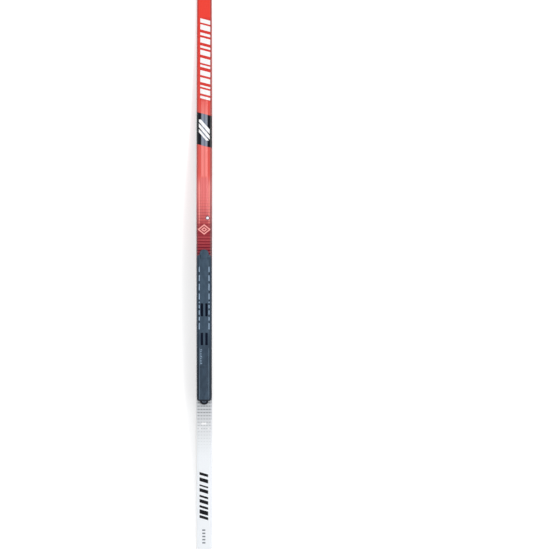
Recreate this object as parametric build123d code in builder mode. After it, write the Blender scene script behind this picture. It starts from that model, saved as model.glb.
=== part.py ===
from build123d import *
import math
import os

os.makedirs("parts", exist_ok=True)

# A cross country skate ski, base down. +X towards the tip, +Y to the skier's left, +Z up, millimetres.

# ---- driving sizes ---------------------------------------------------------------------------
length = 1900.0             # tail to tip along the floor
waist_width = 44.4          # widest place, just ahead of the binding plate
stack = 27.0                # thickness of the ski under the binding plate
camber = 24.0               # height of the unloaded arch
tip_lift = 38.0             # rise of the underside at the tip
tail_lift = 10.0            # rise of the underside at the tail
tip_turn = 170.0            # length of the turned-up tip
fore_contact = 80.0         # flat contact zone behind it
rear_contact = 70.0         # flat contact zone ahead of the tail
tail_turn = 90.0            # length of the raised tail
peak_setback = 70.0         # top of the arch, behind the middle of the ski
plate_lead = 22.0           # front of the binding plate, ahead of the middle of the ski
nose_taper = 130.0          # length over which the sides close to the tip, seen from above
heel_taper = 50.0           # the same at the tail
tip_thickness = 5.6
tail_thickness = 7.0
shoulder_width = 3.9        # sloped shoulder between the flat top and the sidewall, seen from above
shoulder_fall = 0.9         # drop of the shoulder per millimetre sideways

base_sheet = 1.4
base_edge_width = 2.0
groove_width = 3.0
groove_depth = 0.8
laminate = 0.8              # each carbon layer
top_skin = 0.8
wrap = 0.7                  # fibre wrap round the cores
sidewall_width = 4.2
spine_flat = 13.0           # flat width on the raised centre spine
spine_height = 1.0
spine_fall = 0.35
spine_gap = 73.0            # from the binding plate to the start of the spine
spine_length = 465.5

plate_length = 440.0        # tongue to rear stop
plate_width = 41.4          # over the flanges
deck_width = 30.6           # over the rail lips
web_width = 23.0            # between the undercuts
tongue_width = 25.6
glue = 0.6
flange_top = 1.3            # heights above the glue
undercut_top = 2.6
deck_top = 3.8
rail_tooth_top = 4.5
slot_width = 7.0
slot_offset = 6.6           # slot centre from the middle of the plate
slot_floor = 1.6

# ---- derived sizes ---------------------------------------------------------------------------
half_length = length / 2
x_tip = half_length
x_tail = -half_length
x_tail_flat_end = x_tail + tail_turn
x_tail_flat = x_tail_flat_end + rear_contact
x_peak = -peak_setback
x_tip_flat_end = x_tip - tip_turn
x_tip_flat = x_tip_flat_end - fore_contact
rear_run = (x_peak - x_tail_flat) / 2
fore_run = (x_tip_flat - x_peak) / 2
x_rear_turn = x_peak - rear_run
x_fore_turn = x_peak + fore_run
plate_front = plate_lead
plate_rear = plate_front - plate_length

overrun = 12.0              # how far cutting tools reach past the ends
deep = 120.0                # how far they reach below
wide = 60.0                 # how far they reach sideways


def arc_radius(run, rise):
    return (run**2 + rise**2) / (2 * rise)


def arc_rise(radius, run):
    return radius - math.sqrt(radius**2 - run**2)


tail_radius = arc_radius(x_tail_flat_end - x_tail, tail_lift)
tip_radius = arc_radius(x_tip - x_tip_flat_end, tip_lift)
rear_radius = arc_radius(rear_run, camber / 2)
fore_radius = arc_radius(fore_run, camber / 2)


def base_height(x):
    """Height of the underside above the floor."""
    if x <= x_tail_flat_end:
        return arc_rise(tail_radius, x_tail_flat_end - x)
    if x <= x_tail_flat:
        return 0.0
    if x <= x_rear_turn:
        return arc_rise(rear_radius, x - x_tail_flat)
    if x <= x_peak:
        return camber - arc_rise(rear_radius, x_peak - x)
    if x <= x_fore_turn:
        return camber - arc_rise(fore_radius, x - x_peak)
    if x <= x_tip_flat:
        return arc_rise(fore_radius, x_tip_flat - x)
    if x <= x_tip_flat_end:
        return 0.0
    return arc_rise(tip_radius, x - x_tip_flat_end)


def base_point(x, lift):
    return (x, base_height(x) + lift)


def draw_base_line(lift):
    """Underside line raised by lift: tail kick, flat, long arch, flat, tip. Tangent throughout."""
    TangentArc(base_point(x_tail_flat_end, lift), base_point(x_tail - overrun, lift), tangent=(-1, 0))
    Line(base_point(x_tail_flat_end, lift), base_point(x_tail_flat, lift))
    TangentArc(base_point(x_tail_flat, lift), base_point(x_rear_turn, lift), tangent=(1, 0))
    TangentArc(base_point(x_peak, lift), base_point(x_rear_turn, lift), tangent=(-1, 0))
    TangentArc(base_point(x_peak, lift), base_point(x_fore_turn, lift), tangent=(1, 0))
    TangentArc(base_point(x_tip_flat, lift), base_point(x_fore_turn, lift), tangent=(-1, 0))
    Line(base_point(x_tip_flat, lift), base_point(x_tip_flat_end, lift))
    TangentArc(base_point(x_tip_flat_end, lift), base_point(x_tip + overrun, lift), tangent=(1, 0))


# The top line follows the arch at full thickness under the plate, and thins along splines to both ends.
rear_angle = math.asin(rear_run / rear_radius)
x_rear_top = x_peak - (rear_radius + stack) * math.sin(rear_angle)
z_rear_top = camber - rear_radius + (rear_radius + stack) * math.cos(rear_angle)
x_fore_top = plate_front + 40.0
fore_angle = math.asin((x_fore_top - x_peak) / (fore_radius + stack))
z_fore_top = camber - fore_radius + (fore_radius + stack) * math.cos(fore_angle)

tail_stations = [(-1.013, 0.0), (-0.916, 0.06), (-0.832, 0.13), (-0.653, 0.53)]
tip_stations = [(0.211, 0.81), (0.421, 0.49), (0.632, 0.27), (0.821, 0.14), (0.905, 0.065), (1.013, 0.0)]


def top_point(place, share, end_thickness):
    """A point on the top line; share runs from 0 at the end's thickness to 1 at the full stack."""
    x = place * half_length
    return (x, base_height(x) + end_thickness + share * (stack - end_thickness))


def draw_top_line():
    rear = [top_point(place, share, tail_thickness) for place, share in tail_stations]
    rear.append((x_rear_top, z_rear_top))
    fore = [top_point(place, share, tip_thickness) for place, share in tip_stations]
    fore.insert(0, (x_fore_top, z_fore_top))
    tail_slope = -(x_tail_flat_end - rear[0][0]) / tail_radius
    tip_slope = (fore[-1][0] - x_tip_flat_end) / tip_radius
    Spline(*rear, tangents=[(1, tail_slope), (1, math.tan(rear_angle))])
    TangentArc((x_peak, camber + stack), (x_rear_top, z_rear_top), tangent=(-1, 0))
    TangentArc((x_peak, camber + stack), (x_fore_top, z_fore_top), tangent=(1, 0))
    Spline(*fore, tangents=[(1, -math.tan(fore_angle)), (1, tip_slope)])
    Line(rear[0], (rear[0][0], -deep))
    Line((rear[0][0], -deep), (fore[-1][0], -deep))
    Line((fore[-1][0], -deep), fore[-1])


def roof(flat_width, fall):
    """Everything under the top line, with shoulders that fall away outside the flat width."""
    with BuildPart() as tool:
        with BuildSketch(Plane.XZ):
            with BuildLine():
                draw_top_line()
            make_face()
        extrude(amount=wide, both=True)
        start = Plane((0, -wide, (flat_width / 2 + wide) * fall), x_dir=(1, 0, 0), z_dir=(0, -1, 0))
        with BuildSketch(start):
            with BuildLine():
                draw_top_line()
            make_face()
        extrude(amount=2.4 * wide, dir=(0, 1, -fall), mode=Mode.INTERSECT)
        mirror(about=Plane.XZ, mode=Mode.INTERSECT)
    return tool.part


def above_base(lift):
    """Everything over the underside line raised by lift."""
    with BuildPart() as tool:
        with BuildSketch(Plane.XZ):
            with BuildLine():
                draw_base_line(lift)
                Line(base_point(x_tail - overrun, lift), (x_tail - overrun, deep))
                Line((x_tail - overrun, deep), (x_tip + overrun, deep))
                Line((x_tip + overrun, deep), base_point(x_tip + overrun, lift))
            make_face()
        extrude(amount=wide, both=True)
    return tool.part


# Half widths along the ski: shovel a little narrower than the waist, tail in between.
x_nose = x_tip - nose_taper
x_heel = x_tail + heel_taper
side_stations = [
    (x_heel, 1.0),
    (-0.515 * half_length, 0.6),
    (-0.105 * half_length, 0.2),
    (0.21 * half_length, 0.0),
    (0.59 * half_length, 0.7),
    (0.78 * half_length, 1.4),
    (x_nose, 2.0),
]
side_points = [(x, waist_width / 2 - narrower) for x, narrower in side_stations]
side_tangents = [(1, 0.002), (1, -0.02)]
nose_half = side_points[-1][1]
heel_half = side_points[0][1]
nose_points = [
    (x_nose, nose_half),
    (x_nose + 0.45 * nose_taper, 0.91 * nose_half),
    (x_nose + 0.83 * nose_taper, 0.63 * nose_half),
    (x_tip, 0),
]
heel_points = [
    (x_heel, heel_half),
    (x_heel - 0.76 * heel_taper, 0.80 * heel_half),
    (x_tail, 0),
]


def plan_outline():
    with BuildPart() as tool:
        with BuildSketch(Plane.XY.offset(-deep)):
            with BuildLine():
                Spline(*side_points, tangents=side_tangents)
                Spline(*nose_points, tangents=[(1, -0.02), (0, -1)])
                Spline(*heel_points, tangents=[(-1, -0.002), (0, -1)])
                mirror(about=Plane.XZ)
            make_face()
        extrude(amount=2 * deep)
    return tool.part


def inner_strip(inset):
    """The plan between the sides moved in by inset, without the rounded ends."""
    inner = [(x, y - inset) for x, y in side_points]
    with BuildPart() as tool:
        with BuildSketch(Plane.XY.offset(-deep)):
            with BuildLine():
                Spline(*inner, tangents=side_tangents)
                mirror(about=Plane.XZ)
                Line(inner[0], (inner[0][0], -inner[0][1]))
                Line(inner[-1], (inner[-1][0], -inner[-1][1]))
            make_face()
        extrude(amount=2 * deep)
    return tool.part


def plan_block(draw):
    """A tall prism over the faces that draw() puts in the sketch."""
    with BuildPart() as tool:
        with BuildSketch(Plane.XY.offset(-deep)):
            draw()
        extrude(amount=2 * deep)
    return tool.part


def between(x_low, x_high, y_low=-wide, y_high=wide):
    """A tall box between two places along the ski."""
    with BuildPart() as tool:
        with Locations(((x_low + x_high) / 2, (y_low + y_high) / 2, 0)):
            Box(x_high - x_low, y_high - y_low, 2 * deep)
    return tool.part


def common(*solids):
    with BuildPart() as tool:
        add(solids[0])
        for solid in solids[1:]:
            add(solid, mode=Mode.INTERSECT)
    return tool.part


def raised(solid, height):
    return Pos(0, 0, height) * solid


# ---- cutting tools -----------------------------------------------------------------------------
flat_width = waist_width - 2 * shoulder_width
ski_roof = roof(flat_width, shoulder_fall)
over_base = above_base(0)
over_sheet = raised(over_base, base_sheet)
over_laminate = raised(over_base, base_sheet + laminate)
under_skin = raised(ski_roof, -top_skin)
under_upper = raised(ski_roof, -top_skin - laminate)
blank = common(ski_roof, over_base, plan_outline())

x_tip_joint = x_tip - 29.0
x_tail_joint = x_tail + 24.0
core_reach = 9.5            # how far the cores run past the flat contact zones
x_core_front = x_tip_flat_end + core_reach
x_core_rear = x_tail_flat_end - core_reach
x_edge_front = x_nose - 5.0
x_edge_rear = x_heel + 5.0
x_core_split_front = plate_front + 78.0
x_core_split_rear = plate_rear - 52.0
joint_bow = 12.0            # the end mouldings meet the layers along a bowed line

with BuildPart() as middle_tool:
    x_front_side = x_tip_joint - joint_bow
    x_rear_side = x_tail_joint + joint_bow
    with BuildSketch(Plane.XY.offset(-deep)):
        with BuildLine():
            ThreePointArc((x_front_side, -wide / 2), (x_tip_joint, 0), (x_front_side, wide / 2))
            ThreePointArc((x_rear_side, -wide / 2), (x_tail_joint, 0), (x_rear_side, wide / 2))
            Line((x_rear_side, wide / 2), (x_front_side, wide / 2))
            Line((x_rear_side, -wide / 2), (x_front_side, -wide / 2))
        make_face()
    extrude(amount=2 * deep)
middle_blank = common(blank, middle_tool.part)
filling = common(middle_blank, over_laminate, under_upper)
core_box = common(filling, between(x_core_rear, x_core_front))
core_strip = inner_strip(sidewall_width)
core_space = common(
    raised(ski_roof, -top_skin - laminate - wrap),
    raised(over_base, base_sheet + laminate + wrap),
    inner_strip(sidewall_width + wrap),
    between(x_core_rear, x_core_front),
)

# ---- end mouldings -------------------------------------------------------------------------------
with BuildPart() as tip_protector:
    add(common(blank, between(0, x_tip + overrun)))
    add(middle_tool.part, mode=Mode.SUBTRACT)

with BuildPart() as tail_protector:
    add(common(blank, between(x_tail - overrun, 0)))
    add(middle_tool.part, mode=Mode.SUBTRACT)

# ---- sole ----------------------------------------------------------------------------------------
edge_keeper = inner_strip(base_edge_width)
edge_zone = common(middle_blank, between(x_edge_rear, x_edge_front))

with BuildPart() as left_base_edge:
    add(common(edge_zone, between(x_edge_rear, x_edge_front, 0, wide)))
    add(over_sheet, mode=Mode.SUBTRACT)
    add(edge_keeper, mode=Mode.SUBTRACT)

with BuildPart() as right_base_edge:
    add(common(edge_zone, between(x_edge_rear, x_edge_front, -wide, 0)))
    add(over_sheet, mode=Mode.SUBTRACT)
    add(edge_keeper, mode=Mode.SUBTRACT)


groove_tip_reach = 19.0      # how far the groove runs past the flat contact zones
groove_tail_reach = 38.0


def groove_plan():
    groove_front = x_tip_flat_end + groove_tip_reach
    groove_rear = x_tail_flat_end - groove_tail_reach
    with Locations(((groove_front + groove_rear) / 2, 0)):
        SlotOverall(groove_front - groove_rear, groove_width)


with BuildPart() as groove_tool:
    add(plan_block(groove_plan))
    add(raised(over_base, groove_depth), mode=Mode.SUBTRACT)

with BuildPart() as running_base:
    add(middle_blank)
    add(over_sheet, mode=Mode.SUBTRACT)
    add(left_base_edge.part, mode=Mode.SUBTRACT)
    add(right_base_edge.part, mode=Mode.SUBTRACT)
    add(groove_tool.part, mode=Mode.SUBTRACT)

# ---- fibre layers --------------------------------------------------------------------------------
with BuildPart() as lower_carbon_laminate:
    add(common(middle_blank, over_sheet))
    add(over_laminate, mode=Mode.SUBTRACT)

with BuildPart() as upper_carbon_laminate:
    add(common(middle_blank, under_skin))
    add(under_upper, mode=Mode.SUBTRACT)

with BuildPart() as torsion_wrap:
    add(common(core_box, core_strip))
    add(core_space, mode=Mode.SUBTRACT)

# ---- cores and fillers -----------------------------------------------------------------------------
with BuildPart() as fore_core:
    add(common(core_space, between(x_core_split_front, x_core_front)))

with BuildPart() as rear_core:
    add(common(core_space, between(x_core_rear, x_core_split_rear)))

insert_length = plate_length - 60.0
insert_width = 28.0
insert_depth = 3.0
insert_x = (plate_front + plate_rear) / 2
with BuildPart() as binding_insert:
    insert_box = between(
        insert_x - insert_length / 2, insert_x + insert_length / 2, -insert_width / 2, insert_width / 2
    )
    add(common(core_space, insert_box))
    add(raised(ski_roof, -top_skin - laminate - wrap - insert_depth), mode=Mode.SUBTRACT)

with BuildPart() as mid_core:
    add(common(core_space, between(x_core_split_rear, x_core_split_front)))
    add(binding_insert.part, mode=Mode.SUBTRACT)

with BuildPart() as left_sidewall:
    add(common(core_box, between(x_core_rear, x_core_front, 0, wide)))
    add(core_strip, mode=Mode.SUBTRACT)

with BuildPart() as right_sidewall:
    add(common(core_box, between(x_core_rear, x_core_front, -wide, 0)))
    add(core_strip, mode=Mode.SUBTRACT)

with BuildPart() as tip_spacer:
    add(common(filling, between(x_core_front, x_tip)))

with BuildPart() as tail_spacer:
    add(common(filling, between(x_tail, x_core_rear)))

# ---- top sheet with its raised spine ----------------------------------------------------------------
spine_rear = plate_front + spine_gap
spine_front = spine_rear + spine_length
spine_taper = 90.0
spine_half = spine_flat / 2 + 5.0


def spine_plan():
    Polygon(
        (spine_rear, 0),
        (spine_rear + spine_taper / 3, spine_half),
        (spine_front - spine_taper, spine_half),
        (spine_front, 0),
        (spine_front - spine_taper, -spine_half),
        (spine_rear + spine_taper / 3, -spine_half),
        align=None,
    )


with BuildPart() as spine_tool:
    add(common(raised(roof(spine_flat, spine_fall), spine_height), over_base, plan_block(spine_plan)))
    add(raised(ski_roof, -top_skin / 2), mode=Mode.SUBTRACT)

with BuildPart() as top_sheet:
    add(middle_blank)
    add(under_skin, mode=Mode.SUBTRACT)
    add(spine_tool.part)

# ---- binding plate ----------------------------------------------------------------------------------
# Places on the plate are given as distances back from its front end.
flange_start = 15.0
flange_corner = 7.5
tongue_corner = 11.5
stop_length = 10.0
stop_width = 24.0
stop_corner = 9.5
flange_end = plate_length - stop_length
deck_start = 27.0
local_roof = common(ski_roof, between(plate_rear - 20.0, plate_front + 20.0))


def rectangle_from(start, end, width, offset=0.0, radius=0.0, mode=Mode.ADD):
    """A rectangle between two distances back from the plate's front."""
    with Locations((plate_front - (start + end) / 2, offset)):
        if radius > 0:
            RectangleRounded(end - start, width, radius, mode=mode)
        else:
            Rectangle(end - start, width, mode=mode)


def flange_plan():
    rectangle_from(flange_start, flange_end, plate_width, radius=flange_corner)
    rectangle_from(0, flange_start + 40.0, tongue_width, radius=tongue_corner)
    rectangle_from(flange_end - 40.0, flange_end, tongue_width)


def deck_plan():
    rectangle_from(deck_start, flange_end, deck_width, radius=3.0)


def tongue_plan():
    rectangle_from(3.5, deck_start + 20.0, tongue_width - 7.0, radius=8.5)


def undercut_plan():
    reach = (deck_width - web_width) / 2 + 2.0
    for side in (-1, 1):
        rectangle_from(deck_start - 2.0, flange_end - 20.0, reach, offset=side * (web_width + reach) / 2)


# Raised teeth along both rail lips: start and end of each, as shares of the plate's length.
tooth_shares = [
    (0.111, 0.146),
    (0.165, 0.203),
    (0.220, 0.264),
    (0.283, 0.323),
    (0.335, 0.346),
    (0.357, 0.380),
    (0.391, 0.421),
    (0.434, 0.459),
    (0.473, 0.516),
]
lip_depth = 3.0


def tooth_plan():
    for start, end in tooth_shares:
        for side in (-1, 1):
            offset = side * (deck_width - lip_depth) / 2
            rectangle_from(start * plate_length, end * plate_length, lip_depth, offset=offset)


def notch_plan():
    for (_, gap_start), (gap_end, _) in zip(tooth_shares, tooth_shares[1:]):
        for side in (-1, 1):
            offset = side * deck_width / 2
            rectangle_from(gap_start * plate_length, gap_end * plate_length, 3.2, offset=offset)


# Two pairs of lengthwise slots; the front pair has rack teeth across the floor.
slot_shares = [(0.347, 0.431), (0.537, 0.617)]


def slot_plan():
    for start, end in slot_shares:
        for side in (-1, 1):
            rectangle_from(
                start * plate_length, end * plate_length, slot_width, offset=side * slot_offset, radius=1.2
            )


rack_pitch = 3.0
rack_tooth = 1.3
rack_start = slot_shares[0][0] * plate_length + 2.0
rack_count = int((slot_shares[0][1] - slot_shares[0][0]) * plate_length / rack_pitch)


def rack_plan():
    for index in range(rack_count):
        start = rack_start + index * rack_pitch
        for side in (-1, 1):
            rectangle_from(start, start + rack_tooth, slot_width + 0.6, offset=side * slot_offset)


label_start = 0.634 * plate_length
label_end = 0.743 * plate_length
cross_groove_start = 0.755 * plate_length
rib_start = 0.775 * plate_length
rib_pitch = 4.0
rib_length = 1.8
rib_count = int((flange_end - 8.0 - rib_start) / rib_pitch)


def recess_plan():
    rectangle_from(label_start, label_end, web_width, radius=2.0)


def cross_groove_plan():
    rectangle_from(cross_groove_start, cross_groove_start + 2.4, deck_width + 2.0)


def rib_plan():
    for index in range(rib_count):
        start = rib_start + index * rib_pitch
        rectangle_from(start, start + rib_length, web_width)


def plate_layer(draw, low, high):
    """Plan shapes between two heights over the glue, following the arch of the ski."""
    with BuildPart() as tool:
        add(common(plan_block(draw), raised(local_roof, glue + high)))
        add(raised(local_roof, glue + low), mode=Mode.SUBTRACT)
    return tool.part


# The stop is held by a key in a blind pocket under the deck.
key_length = 8.0
key_width = 9.0
key_top = deck_top - 0.8


def key_plan():
    rectangle_from(flange_end - key_length, flange_end + 1.0, key_width)


def stop_plan():
    rounded_start = plate_length - 3 * stop_length
    rectangle_from(flange_end, plate_length, stop_width)
    rectangle_from(rounded_start, plate_length, stop_width, radius=stop_corner, mode=Mode.INTERSECT)


with BuildPart() as plate_adhesive:
    add(common(plan_block(flange_plan), raised(local_roof, glue)))
    add(local_roof, mode=Mode.SUBTRACT)

with BuildPart() as binding_plate:
    add(plate_layer(flange_plan, 0, flange_top))
    add(plate_layer(tongue_plan, 0, undercut_top))
    add(plate_layer(deck_plan, 0, deck_top))
    add(plate_layer(undercut_plan, flange_top, undercut_top), mode=Mode.SUBTRACT)
    add(plate_layer(notch_plan, undercut_top, deck_top + 1.0), mode=Mode.SUBTRACT)
    add(plate_layer(slot_plan, slot_floor, deck_top + 1.0), mode=Mode.SUBTRACT)
    add(plate_layer(recess_plan, deck_top - 0.4, deck_top + 1.0), mode=Mode.SUBTRACT)
    add(plate_layer(cross_groove_plan, deck_top - 0.9, deck_top + 1.0), mode=Mode.SUBTRACT)
    add(plate_layer(tooth_plan, undercut_top, rail_tooth_top))
    add(plate_layer(rack_plan, slot_floor - 0.4, deck_top - 0.7))
    add(plate_layer(rib_plan, deck_top - 0.5, deck_top + 0.4))
    add(plate_layer(key_plan, flange_top, key_top), mode=Mode.SUBTRACT)

with BuildPart() as plate_rear_stop:
    add(plate_layer(stop_plan, -glue, deck_top))
    add(plate_layer(key_plan, flange_top, key_top))

# ---- write every piece ------------------------------------------------------------------------------
pieces = {
    "running_base": running_base,
    "left_base_edge": left_base_edge,
    "right_base_edge": right_base_edge,
    "lower_carbon_laminate": lower_carbon_laminate,
    "fore_core": fore_core,
    "mid_core": mid_core,
    "rear_core": rear_core,
    "binding_insert": binding_insert,
    "torsion_wrap": torsion_wrap,
    "left_sidewall": left_sidewall,
    "right_sidewall": right_sidewall,
    "tip_spacer": tip_spacer,
    "tail_spacer": tail_spacer,
    "upper_carbon_laminate": upper_carbon_laminate,
    "top_sheet": top_sheet,
    "tip_protector": tip_protector,
    "tail_protector": tail_protector,
    "plate_adhesive": plate_adhesive,
    "binding_plate": binding_plate,
    "plate_rear_stop": plate_rear_stop,
}
for name, piece in pieces.items():
    piece.part.label = name
    export_step(piece.part, f"parts/{name}.step")
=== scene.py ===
import math

import bmesh
import bpy
import numpy as np
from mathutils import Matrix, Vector


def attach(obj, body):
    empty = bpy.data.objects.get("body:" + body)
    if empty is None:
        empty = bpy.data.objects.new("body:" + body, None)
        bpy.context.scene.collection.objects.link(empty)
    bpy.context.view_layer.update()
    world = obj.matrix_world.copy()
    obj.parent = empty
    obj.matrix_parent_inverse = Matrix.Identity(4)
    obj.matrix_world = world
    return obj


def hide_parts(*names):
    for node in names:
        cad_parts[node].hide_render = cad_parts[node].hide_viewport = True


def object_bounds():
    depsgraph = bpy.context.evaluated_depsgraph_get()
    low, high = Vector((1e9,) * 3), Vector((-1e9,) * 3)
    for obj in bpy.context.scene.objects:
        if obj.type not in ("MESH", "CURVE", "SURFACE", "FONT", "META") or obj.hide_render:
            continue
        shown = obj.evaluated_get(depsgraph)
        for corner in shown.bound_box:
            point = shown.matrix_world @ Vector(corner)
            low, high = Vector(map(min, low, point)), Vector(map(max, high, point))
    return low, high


# A cross country skate ski seen from above. Everything is in metres, in the CAD frame: +X to the tip,
# +Y to the skier's left, +Z up. The plate's own sizes, the paint and names ending in _mm are millimetres.

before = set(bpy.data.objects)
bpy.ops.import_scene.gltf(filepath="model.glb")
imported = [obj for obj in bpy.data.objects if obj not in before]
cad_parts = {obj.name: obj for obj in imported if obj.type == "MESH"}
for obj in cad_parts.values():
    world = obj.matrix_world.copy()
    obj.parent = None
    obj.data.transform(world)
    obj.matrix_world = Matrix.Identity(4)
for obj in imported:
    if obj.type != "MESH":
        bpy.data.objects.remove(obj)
cad_box = [list(map(float, corner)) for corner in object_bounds()]
MM = 0.001

# ---- sizes, as in the CAD --------------------------------------------
x_tail, x_tip = cad_box[0][0], cad_box[1][0]
half_length = (x_tip - x_tail) / 2
STACK = 27.0 * MM
CAMBER = 24.0 * MM
TIP_LIFT = 38.0 * MM
TAIL_LIFT = 10.0 * MM
TIP_THICKNESS = 5.6 * MM
TAIL_THICKNESS = 7.0 * MM
FLAT_HALF = 18.3 * MM
SHOULDER_FALL = 0.9
SHEET = 1.4 * MM
LAMINATE = 0.8 * MM
SKIN = 0.8 * MM
EDGE_WIDTH = 2.0 * MM
SIDEWALL = 4.2 * MM
GROOVE_HALF = 1.5 * MM
GROOVE_DEPTH = 0.8 * MM
GLUE = 0.6 * MM
TIP_TURN = 170.0 * MM
FORE_CONTACT = 80.0 * MM
REAR_CONTACT = 70.0 * MM
TAIL_TURN = 90.0 * MM
PEAK_SETBACK = 70.0 * MM
PLATE_LEAD = 22.0 * MM
NOSE_TAPER = 130.0 * MM
HEEL_TAPER = 50.0 * MM
SPINE_GAP = 73.0 * MM
CORE_REACH = 9.5 * MM
GROOVE_TIP_REACH = 19.0 * MM
GROOVE_TAIL_REACH = 38.0 * MM
FORE_TOP_LEAD = 40.0 * MM

tail_flat_end = x_tail + TAIL_TURN
tail_flat = tail_flat_end + REAR_CONTACT
peak = -PEAK_SETBACK
tip_flat_end = x_tip - TIP_TURN
tip_flat = tip_flat_end - FORE_CONTACT
rear_run = (peak - tail_flat) / 2
fore_run = (tip_flat - peak) / 2
plate_front = PLATE_LEAD


def arc_radius(run, rise):
    return (run**2 + rise**2) / (2 * rise)


TAIL_RADIUS = arc_radius(tail_flat_end - x_tail, TAIL_LIFT)
TIP_RADIUS = arc_radius(x_tip - tip_flat_end, TIP_LIFT)
REAR_RADIUS = arc_radius(rear_run, CAMBER / 2)
FORE_RADIUS = arc_radius(fore_run, CAMBER / 2)


def arc_rise(radius, run):
    return radius - math.sqrt(max(radius**2 - run**2, 0.0))


def base_z(x):
    """Height of the underside."""
    if x <= tail_flat_end:
        return arc_rise(TAIL_RADIUS, tail_flat_end - x)
    if x <= tail_flat:
        return 0.0
    if x <= peak - rear_run:
        return arc_rise(REAR_RADIUS, x - tail_flat)
    if x <= peak:
        return CAMBER - arc_rise(REAR_RADIUS, peak - x)
    if x <= peak + fore_run:
        return CAMBER - arc_rise(FORE_RADIUS, x - peak)
    if x <= tip_flat:
        return arc_rise(FORE_RADIUS, tip_flat - x)
    if x <= tip_flat_end:
        return 0.0
    return arc_rise(TIP_RADIUS, x - tip_flat_end)


def clamped_spline(points, slope_start, slope_end):
    """Smooth curve through points with given end slopes, as a function of x."""
    xs = np.array([p[0] for p in points])
    ys = np.array([p[1] for p in points])
    h = np.diff(xs)
    count = len(xs)
    a = np.zeros((count, count))
    b = np.zeros(count)
    a[0, 0], b[0] = 1.0, slope_start
    a[-1, -1], b[-1] = 1.0, slope_end
    for i in range(1, count - 1):
        a[i, i - 1] = 1 / h[i - 1]
        a[i, i] = 2 * (1 / h[i - 1] + 1 / h[i])
        a[i, i + 1] = 1 / h[i]
        b[i] = 3 * ((ys[i] - ys[i - 1]) / h[i - 1] ** 2 + (ys[i + 1] - ys[i]) / h[i] ** 2)
    slopes = np.linalg.solve(a, b)

    def value(x):
        i = int(np.clip(np.searchsorted(xs, x) - 1, 0, count - 2))
        t = (x - xs[i]) / h[i]
        return (
            (1 + 2 * t) * (1 - t) ** 2 * ys[i]
            + t * (1 - t) ** 2 * h[i] * slopes[i]
            + t * t * (3 - 2 * t) * ys[i + 1]
            + t * t * (t - 1) * h[i] * slopes[i + 1]
        )

    return value


rear_angle = math.asin(rear_run / REAR_RADIUS)
x_rear_top = peak - (REAR_RADIUS + STACK) * math.sin(rear_angle)
x_fore_top = plate_front + FORE_TOP_LEAD
fore_angle = math.asin((x_fore_top - peak) / (FORE_RADIUS + STACK))


def plate_arc(x):
    """Top of the ski where it carries the plate: one thickness over the arch."""
    radius = (REAR_RADIUS if x < peak else FORE_RADIUS) + STACK
    return CAMBER + STACK - arc_rise(radius, abs(x - peak))


def station(place, share, end_thickness):
    x = place * half_length
    return (x, base_z(x) + end_thickness + share * (STACK - end_thickness))


# Thickness along the ski: place as a share of the half length, and share of the full stack.
TAIL_STATIONS = [(-1.013, 0.0), (-0.916, 0.06), (-0.832, 0.13), (-0.653, 0.53)]
TIP_STATIONS = [(0.211, 0.81), (0.421, 0.49), (0.632, 0.27), (0.821, 0.14), (0.905, 0.065), (1.013, 0.0)]
rear_points = [station(place, share, TAIL_THICKNESS) for place, share in TAIL_STATIONS]
rear_points.append((x_rear_top, plate_arc(x_rear_top)))
fore_points = [(x_fore_top, plate_arc(x_fore_top))]
fore_points += [station(place, share, TIP_THICKNESS) for place, share in TIP_STATIONS]
tail_slope = -(tail_flat_end - rear_points[0][0]) / TAIL_RADIUS
tip_slope = (fore_points[-1][0] - tip_flat_end) / TIP_RADIUS
rear_line = clamped_spline(rear_points, tail_slope, math.tan(rear_angle))
fore_line = clamped_spline(fore_points, -math.tan(fore_angle), tip_slope)


def top_z(x):
    """Height of the flat top, without the spine."""
    if x < x_rear_top:
        return rear_line(x)
    if x > x_fore_top:
        return fore_line(x)
    return plate_arc(x)


def outline_from(nodes):
    """Half width along the ski, from the outer points of CAD nodes seen from above."""
    points = np.vstack([[(v.co.x, abs(v.co.y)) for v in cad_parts[n].data.vertices] for n in nodes])
    points = points[np.argsort(points[:, 0])]
    hull = []
    for p in points:
        while len(hull) > 1:
            o, q = hull[-2], hull[-1]
            if (q[0] - o[0]) * (p[1] - o[1]) - (q[1] - o[1]) * (p[0] - o[0]) < 0:
                break
            hull.pop()
        hull.append(p)
    return np.array(hull)


outline = outline_from(["top_sheet", "tip_protector", "tail_protector"])


def half_width(x):
    return float(np.interp(x, outline[:, 0], outline[:, 1]))


def smooth(lo, hi, v):
    t = min(max((v - lo) / (hi - lo), 0.0), 1.0)
    return t * t * (3 - 2 * t)


SPINE_FRONT = 546.0 * MM
SPINE_REAR = plate_front + SPINE_GAP
SPINE_RISE_RUN = 45.0 * MM
SPINE_FADE_RUN = 120.0 * MM
SPINE_HEIGHT = 0.96 * MM
SPINE_HALF = 9.8 * MM           # half width at the foot of the ridges
SPINE_CREST = 6.6 * MM
VALLEY_HALF = 4.2 * MM
VALLEY_SHARE = 0.55             # depth of the valley as a share of the ridges
SHOULDER_ROUNDING = 1.6 * MM


def spine(x, y):
    """Raised centre: two soft ridges with a shallow valley between them, fading at both ends."""
    along = smooth(SPINE_REAR, SPINE_REAR + SPINE_RISE_RUN, x)
    along *= 1 - smooth(SPINE_FRONT - SPINE_FADE_RUN, SPINE_FRONT, x)
    wide = smooth(SPINE_HALF, SPINE_CREST, abs(y))
    valley = VALLEY_SHARE * (1 - smooth(0.0, VALLEY_HALF, abs(y)))
    return SPINE_HEIGHT * along * wide * (1 - valley)


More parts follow.
